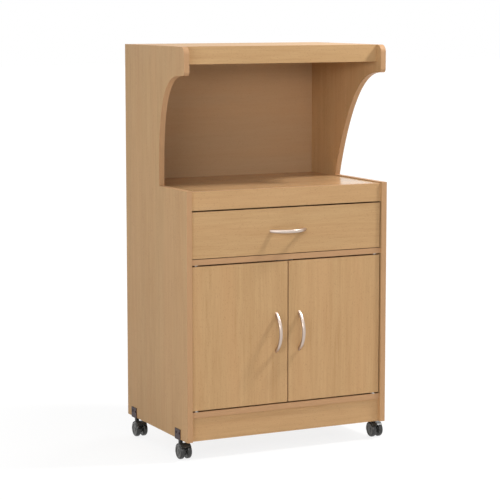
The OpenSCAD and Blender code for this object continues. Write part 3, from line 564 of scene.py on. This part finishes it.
def hardboard(name, wood, printed=None):
    """Brown hardboard, with a beech print on the side that faces the printed way."""
    roughness, level, depth = BACK_BOARD
    fibres_per_metre = (380, 380, 380)
    fibre_gain = 1.2
    clouds_per_metre = 7.0
    cloud_gain = 0.6
    shade_range = (-0.4, 0.4)
    front_range = (0.5, 0.9)

    def build(graph):
        place = graph.place()
        fibre = graph.noise(graph.stretch(place, fibres_per_metre), 1.0, 4.0)
        cloud = graph.noise(place, clouds_per_metre, 3.0)
        shade = graph.add(graph.centred(fibre, fibre_gain), graph.centred(cloud, cloud_gain))
        shade = graph.ramp(shade, *shade_range)
        tone = graph.mix(shade, opaque(wood.board_dark), opaque(wood.board))
        if printed is not None:
            turned = graph.node("Mapping", {"Vector": place, "Rotation": GRAIN_TURNS["X"]}).outputs[0]
            print_settings = {"Streaks": wood.back_streaks, "Flecks": wood.flecks / 2}
            grain = graph.effect(beech_grain(), Vector=turned, **print_settings)
            face = printed_grain(graph, grain, wood, wood.back_dark, wood.back_light)
            towards = graph.vector("DOT_PRODUCT", graph.facing(), printed)
            front = graph.ramp(towards, *front_range)
            tone = graph.mix(front, tone, face)
        gloss = graph.add(graph.centred(cloud, 0.1), roughness)
        normal = graph.bump(fibre, depth, 0.5)
        return {"Base Color": tone, "Roughness": gloss, "Specular IOR Level": level, "Normal": normal}

    return material(name, build)


def plain_wood(wood):
    """Bare beech of the dowels."""
    roughness, level, depth = BARE_WOOD

    def build(graph):
        turned = graph.node("Mapping", {"Vector": graph.place(), "Rotation": GRAIN_TURNS["X"]}).outputs[0]
        grain = graph.effect(beech_grain(), Vector=turned, Streaks=1.0, Flecks=0.6)
        tone = graph.mix(grain["Tone"], opaque(wood.dark), opaque(wood.dowel))
        normal = graph.bump(grain["Relief"], depth)
        return {"Base Color": tone, "Roughness": roughness, "Specular IOR Level": level, "Normal": normal}

    return material("dowel_wood", build)


def metal(name, tone, plating, strokes):
    """Plated metal: fine directional lines, faint smears, and a patchy sheen on zinc."""
    roughness, patch = plating
    spangles_per_metre = 160.0

    def build(graph):
        place = graph.place()
        worn = graph.effect(handling(), Vector=place, Stretch=strokes, Amount=0.35)
        cloud = graph.ramp(graph.noise(place, spangles_per_metre), *CLOUD_RANGE)
        deep = tuple(value * (1 - patch) for value in tone)
        shade = graph.mix(cloud, opaque(deep), opaque(tone))
        gloss = graph.add(worn["Gloss"], roughness)
        normal = graph.bump(worn["Relief"], METAL_RELIEF, 0.4)
        return {"Base Color": shade, "Metallic": 1.0, "Roughness": gloss, "Normal": normal}

    return material(name, build)


def zinc_plate(metals):
    """The plating that the screws, cams, pins and axles share."""
    return metal("zinc_plate", metals.zinc, ZINC_PLATE, (BRUSHED_ACROSS,) * 3)


def moulded(name, tone):
    """Moulded plastic or enamel with a fine spark texture."""
    roughness, level, depth = MOULDED[name]
    clouds_per_metre = 60.0

    def build(graph):
        place = graph.place()
        worn = graph.effect(handling(), Vector=place, Stretch=SPARKS, Amount=0.4)
        cloud = graph.ramp(graph.noise(place, clouds_per_metre, 3.0), *CLOUD_RANGE)
        deep = tuple(value * CLOUD_TONE for value in tone)
        shade = graph.mix(cloud, opaque(deep), opaque(tone))
        gloss = graph.add(worn["Gloss"], roughness)
        normal = graph.bump(worn["Relief"], depth, 0.6)
        return {"Base Color": shade, "Roughness": gloss, "Specular IOR Level": level, "Normal": normal}

    return material(name, build)


# ---- Pieces ----


def dress(node, finish):
    """Gives a CAD node its finish."""
    slots = NODES[node].data.materials
    slots.clear()
    slots.append(finish)
    return NODES[node]


def round_edges(piece, width):
    """Rounds a piece's sharp edges."""
    bevel = piece.modifiers.new("Rounded edges", "BEVEL")
    bevel.width = width
    bevel.segments = ROUNDED_SEGMENTS
    bevel.limit_method = "ANGLE"
    bevel.angle_limit = ROUNDED
    bevel.harden_normals = True


def make_piece(name, shape, body, finishes, stands_for):
    """Turns a bmesh into a piece that rides on a body and replaces the CAD node that it stands for."""
    bmesh.ops.recalc_face_normals(shape, faces=shape.faces)
    for face in shape.faces:
        face.smooth = True
    for edge in shape.edges:
        edge.smooth = edge.calc_face_angle(0) < CREASE
    mesh = bpy.data.meshes.new(name)
    shape.to_mesh(mesh)
    shape.free()
    for finish in finishes:
        mesh.materials.append(finish)
    piece = bpy.data.objects.new(name, mesh)
    bpy.context.scene.collection.objects.link(piece)
    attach(piece, body)
    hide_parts(stands_for)


def ring(shape, points):
    """A ring of new corners."""
    return [shape.verts.new(point) for point in points]


def skin(shape, first, second, finish=0):
    """Joins two rings of as many points with a strip of faces."""
    count = len(first)
    for at in range(count):
        after = (at + 1) % count
        face = shape.faces.new((first[at], first[after], second[after], second[at]))
        face.material_index = finish


def close_ends(shape, rings):
    """Closes the first and the last ring with a face."""
    shape.faces.new(list(reversed(rings[0])))
    shape.faces.new(rings[-1])


def lathe(shape, profile, place, finishes):
    """Turns a profile of (radius, height) points round the Z axis of a placing matrix, with closed ends."""
    angles = [math.tau * step / WHEEL_STEPS for step in range(WHEEL_STEPS)]
    rings = []
    for radius, height in profile:
        points = [place @ Vector((radius * math.cos(a), radius * math.sin(a), height)) for a in angles]
        rings.append(ring(shape, points))
    for at in range(len(rings) - 1):
        skin(shape, rings[at], rings[at + 1], finishes[at])
    close_ends(shape, rings)


def rounded(value):
    """A sine or cosine bent from an ellipse towards a rectangle."""
    return math.copysign(abs(value) ** BOW_CORNER, value)


def bow(shape, place, centres, foot, reach, thickness, width):
    """A bow handle along the X axis of a placing matrix, its feet at y = 0 and its bow towards -Y."""
    arcs = []
    for half, rise in (((centres + foot) / 2, reach), ((centres - foot) / 2, reach - thickness)):
        radius = (half**2 + rise**2) / (2 * rise)
        arcs.append((radius, radius - rise, math.asin(half / radius)))
    rings = []
    for step in range(BOW_STEPS + 1):
        share = 2 * step / BOW_STEPS - 1
        outer, inner = [
            Vector((radius * math.sin(share * sweep), sunk - radius * math.cos(share * sweep), 0))
            for radius, sunk, sweep in arcs
        ]
        middle, half = (outer + inner) / 2, (outer - inner) / 2
        points = []
        for side in range(BOW_SIDES):
            angle = math.tau * side / BOW_SIDES
            out = half * rounded(math.cos(angle))
            across = Vector((0, 0, rounded(math.sin(angle)) * width / 2))
            points.append(place @ (middle + out + across))
        rings.append(ring(shape, points))
    for at in range(BOW_STEPS):
        skin(shape, rings[at], rings[at + 1])
    close_ends(shape, rings)


def quarter(radius, height, bend, start):
    """Points of a quarter turn of a rounded corner, from the start angle on."""
    angles = [start + math.pi / 2 * step / CORNER_STEPS for step in range(CORNER_STEPS + 1)]
    return [(radius + bend * math.cos(angle), height + bend * math.sin(angle)) for angle in angles]


def wheel_profile(plastics, bore, radius, width):
    """Half the section of a wheel, from the axle on its inner face round to the axle on its outer face.

    Also returns the finish of each strip: zero for the wheel's plastic and one for the tread's.
    """
    inner, outer = plastics.tread_round, plastics.rim_round
    seat = radius - inner
    lip = radius - outer
    hollow_end = seat - plastics.tread_flat
    inside = [
        (bore, 0),
        (plastics.hub, 0),
        (plastics.hub + plastics.hollow_slope, plastics.hollow),
        (hollow_end - plastics.hollow_slope, plastics.hollow),
        (hollow_end, 0),
    ]
    inner_corner = quarter(seat, inner, inner, -math.pi / 2)
    outer_corner = quarter(lip, width - outer, outer, 0)
    outside = [(lip - back * MM, width - depth * MM) for back, depth in RIM_STEPS]
    outside += [(at * MM, width - depth * MM) for at, depth in HUB_STEPS]
    profile = inside + inner_corner + outer_corner + outside
    first = len(inside) + TREAD_FROM
    last = len(inside) + len(inner_corner) + TREAD_TO
    finishes = [1 if first <= at <= last else 0 for at in range(len(profile) - 1)]
    return profile, finishes


class CART_OT_boards(Operator):
    """Gives the boards their beech laminate, edge bands and rounded edges"""

    bl_idname = "cart.boards"
    bl_label = "Laminate the boards"
    bl_options = {"REGISTER", "UNDO"}

    def execute(self, context):
        wood = context.scene.cart_wood
        for board in BOARDS:
            round_edges(dress(board, beech(board, wood)), wood.arris)
        return {"FINISHED"}


class CART_OT_backs(Operator):
    """Finishes the hardboard backs, the drawer's bottom and the dowels"""

    bl_idname = "cart.backs"
    bl_label = "Finish the backs"
    bl_options = {"REGISTER", "UNDO"}

    def execute(self, context):
        wood = context.scene.cart_wood
        dress("hutch_back", hardboard("printed_back", wood, -AXES["Y"]))
        dress("cabinet_back", hardboard("hardboard", wood))
        dress("drawer_bottom", hardboard("printed_drawer_bottom", wood, AXES["Z"]))
        dress("wooden_dowels", plain_wood(wood))
        return {"FINISHED"}


class CART_OT_fittings(Operator):
    """Finishes the runners, rollers, screws, cams, pivots and the catch"""

    bl_idname = "cart.fittings"
    bl_label = "Finish the fittings"
    bl_options = {"REGISTER", "UNDO"}

    zinc_nodes = (
        "shelf_pins",
        "cam_locks",
        "cam_bolts",
        "back_nails",
        "runner_screws",
        "caster_stems",
        "drawer_fasteners",
        "drawer_handle_screws",
    )
    zinc_nodes_each_side = ("door_pivots", "door_strike", "door_handle_screws")
    enamelled_nodes_each_side = ("cabinet_runner", "drawer_runner")
    nylon_nodes = ("runner_rollers", "drawer_rollers", "pivot_bushings", "magnetic_catch")

    def execute(self, context):
        metals, plastics = context.scene.cart_metal, context.scene.cart_plastic
        zinc = zinc_plate(metals)
        cream = moulded("cream_enamel", metals.cream)
        nylon = moulded("nylon", plastics.nylon)
        for side in ("left", "right"):
            for node in self.enamelled_nodes_each_side:
                round_edges(dress(f"{side}_{node}", cream), metals.runner_edge)
            for node in self.zinc_nodes_each_side:
                dress(f"{side}_{node}", zinc)
        for node in self.zinc_nodes:
            dress(node, zinc)
        for node in self.nylon_nodes:
            round_edges(dress(node, nylon), plastics.nylon_edge)
        return {"FINISHED"}


class CART_OT_handles(Operator):
    """Makes the three bow handles in satin nickel"""

    bl_idname = "cart.handles"
    bl_label = "Make the handles"
    bl_options = {"REGISTER", "UNDO"}

    def execute(self, context):
        metals = context.scene.cart_metal
        level = Matrix()
        upright = Matrix.Rotation(math.pi / 2, 4, "Y")
        level_strokes = (BRUSHED_ALONG, BRUSHED_ACROSS, BRUSHED_ACROSS)
        upright_strokes = (BRUSHED_ACROSS, BRUSHED_ACROSS, BRUSHED_ALONG)
        for node, board, body, stance, strokes in (
            ("drawer_handle", "drawer_front", "drawer", level, level_strokes),
            ("left_door_handle", "left_door", "left_door", upright, upright_strokes),
            ("right_door_handle", "right_door", "right_door", upright, upright_strokes),
        ):
            low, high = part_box(node)
            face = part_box(board)[0].y
            centre = (low + high) / 2
            place = Matrix.Translation((centre.x, face, centre.z)) @ stance
            shape = bmesh.new()
            bow(
                shape,
                place,
                centres=metals.handle_centres,
                foot=metals.handle_foot,
                reach=face - low.y,
                thickness=metals.handle_thickness,
                width=metals.handle_width,
            )
            finish = metal(node + "_nickel", metals.nickel, NICKEL_PLATE, strokes)
            make_piece(node + "_bow", shape, body, [finish], node)
        return {"FINISHED"}


class CART_OT_casters(Operator):
    """Makes the twin wheels and finishes the hoods, axles and brackets of the casters"""

    bl_idname = "cart.casters"
    bl_label = "Make the casters"
    bl_options = {"REGISTER", "UNDO"}

    def execute(self, context):
        metals, plastics = context.scene.cart_metal, context.scene.cart_plastic
        hood = moulded("hood_plastic", plastics.hood)
        wheel = moulded("wheel_plastic", plastics.wheel)
        tread = moulded("tread_plastic", plastics.tread)
        brown = moulded("brown_enamel", metals.brown)
        for corner in CORNERS:
            round_edges(dress(f"{corner}_caster_hood", hood), plastics.edge)
            dress(f"{corner}_caster_axle", zinc_plate(metals))
            self.twin_wheels(corner, plastics, [wheel, tread])
        for node in ("caster_brackets", "caster_screws"):
            round_edges(dress(node, brown), plastics.edge)
        return {"FINISHED"}

    def twin_wheels(self, corner, plastics, finishes):
        """The two wheels of a caster, each turned about the axle."""
        node = f"{corner}_caster_wheels"
        low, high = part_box(node)
        centre = (low + high) / 2
        gap = plastics.wheel_gap / 2
        axle_low, axle_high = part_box(f"{corner}_caster_axle")
        bore = (axle_high.z - axle_low.z) / 2
        radius = (high.z - low.z) / 2
        profile, strips = wheel_profile(plastics, bore, radius, (high.x - low.x) / 2 - gap)
        shape = bmesh.new()
        for side in (-1, 1):
            outwards = Matrix.Rotation(side * math.pi / 2, 4, "Y")
            place = Matrix.Translation((centre.x + side * gap, centre.y, centre.z)) @ outwards
            lathe(shape, profile, place, strips)
        make_piece(f"{corner}_twin_wheels", shape, f"{corner}_wheels", finishes, node)


class CART_OT_stage(Operator):
    """Sets up the floor, the lamps, the surround and the camera"""

    bl_idname = "cart.stage"
    bl_label = "Set up the stage"
    bl_options = {"REGISTER", "UNDO"}

    def execute(self, context):
        scene = context.scene
        stage = scene.cart_stage
        self.floor(scene, stage)
        self.surround(scene, stage)
        for name, (place, width, height) in LAMPS.items():
            self.lamp(scene, name + "_lamp", getattr(stage, name), place, width, height)
        self.camera(scene, stage)
        scene.view_settings.view_transform = "Standard"
        return {"FINISHED"}

    def floor(self, scene, stage):
        """A wide floor seen as white, on which the cart keeps a faint shadow."""

        def build(graph):
            fade = graph.ramp(graph.vector("LENGTH", graph.place()), stage.shadow_near, stage.shadow_far)
            held = graph.times(graph.less(1.0, fade), stage.shadow)
            white = graph.times(graph.seen(), graph.less(1.0, held))
            tone = graph.mix(white, opaque(stage.floor), (0, 0, 0, 1))
            return {"Base Color": tone, "Roughness": 1.0, "Emission Color": white, "Emission Strength": 1.0}

        mesh = bpy.data.meshes.new("studio_floor")
        half = FLOOR_HALF
        corners = [(-half, -half, 0), (half, -half, 0), (half, half, 0), (-half, half, 0)]
        mesh.from_pydata(corners, [], [(0, 1, 2, 3)])
        mesh.materials.append(material("studio_floor", build))
        floor = bpy.data.objects.new("studio_floor", mesh)
        scene.collection.objects.link(floor)

    def surround(self, scene, stage):
        """Even light from all round, seen as white by the camera and in reflections."""
        scene.world = bpy.data.worlds.new("studio_surround")
        scene.world.use_nodes = True
        scene.world.node_tree.nodes.clear()
        graph = Graph(scene.world.node_tree)
        strength = graph.add(graph.times(graph.seen(), 1.0 - stage.daylight), stage.daylight)
        glow = graph.node("Background", {"Color": (1, 1, 1, 1), "Strength": strength})
        graph.node("OutputWorld", {"Surface": glow.outputs[0]})

    def lamp(self, scene, name, power, place, width, height):
        """A soft lamp that points at the middle of the cart."""
        light = bpy.data.lights.new(name, "AREA")
        light.shape = "RECTANGLE"
        light.energy = power
        light.size = width
        light.size_y = height
        lamp = bpy.data.objects.new(name, light)
        lamp.location = place
        aim = (CAD_BOX[0] + CAD_BOX[1]) / 2 - Vector(place)
        lamp.rotation_euler = aim.to_track_quat("-Z", "Y").to_euler()
        lamp.visible_camera = False
        scene.collection.objects.link(lamp)

    def camera(self, scene, stage):
        """A camera at the photograph's viewing angle."""
        view = bpy.data.cameras.new("photo_camera")
        view.lens = stage.lens
        view.clip_end = CAMERA_REACH
        camera = bpy.data.objects.new("photo_camera", view)
        camera.location = (stage.camera_x, stage.camera_y, stage.camera_z)
        camera.rotation_euler = (math.pi / 2 - stage.camera_dip, 0, -stage.camera_turn)
        scene.collection.objects.link(camera)
        scene.camera = camera


SETTINGS = {
    "cart_wood": CartWood,
    "cart_metal": CartMetal,
    "cart_plastic": CartPlastic,
    "cart_stage": CartStage,
}
OPERATORS = (
    CART_OT_boards,
    CART_OT_backs,
    CART_OT_fittings,
    CART_OT_handles,
    CART_OT_casters,
    CART_OT_stage,
)


class CART_PT_panel(Panel):
    """Lists the cart's settings and the steps that build it"""

    bl_idname = "CART_PT_panel"
    bl_label = "Microwave Cart"
    bl_space_type = "VIEW_3D"
    bl_region_type = "UI"
    bl_category = "Cart"

    def draw(self, context):
        for name, group in SETTINGS.items():
            box = self.layout.box()
            box.label(text=group.__doc__)
            for setting in group.__annotations__:
                box.prop(getattr(context.scene, name), setting)
        for step in OPERATORS:
            self.layout.operator(step.bl_idname)


CLASSES = (*SETTINGS.values(), *OPERATORS, CART_PT_panel)


def register():
    for item in CLASSES:
        bpy.utils.register_class(item)
    for name, group in SETTINGS.items():
        setattr(bpy.types.Scene, name, PointerProperty(type=group))


def unregister():
    for name in SETTINGS:
        delattr(bpy.types.Scene, name)
    for item in reversed(CLASSES):
        bpy.utils.unregister_class(item)


def main():
    register()
    for step in OPERATORS:
        family, name = step.bl_idname.split(".")
        getattr(getattr(bpy.ops, family), name)()


if __name__ == "__main__":
    main()
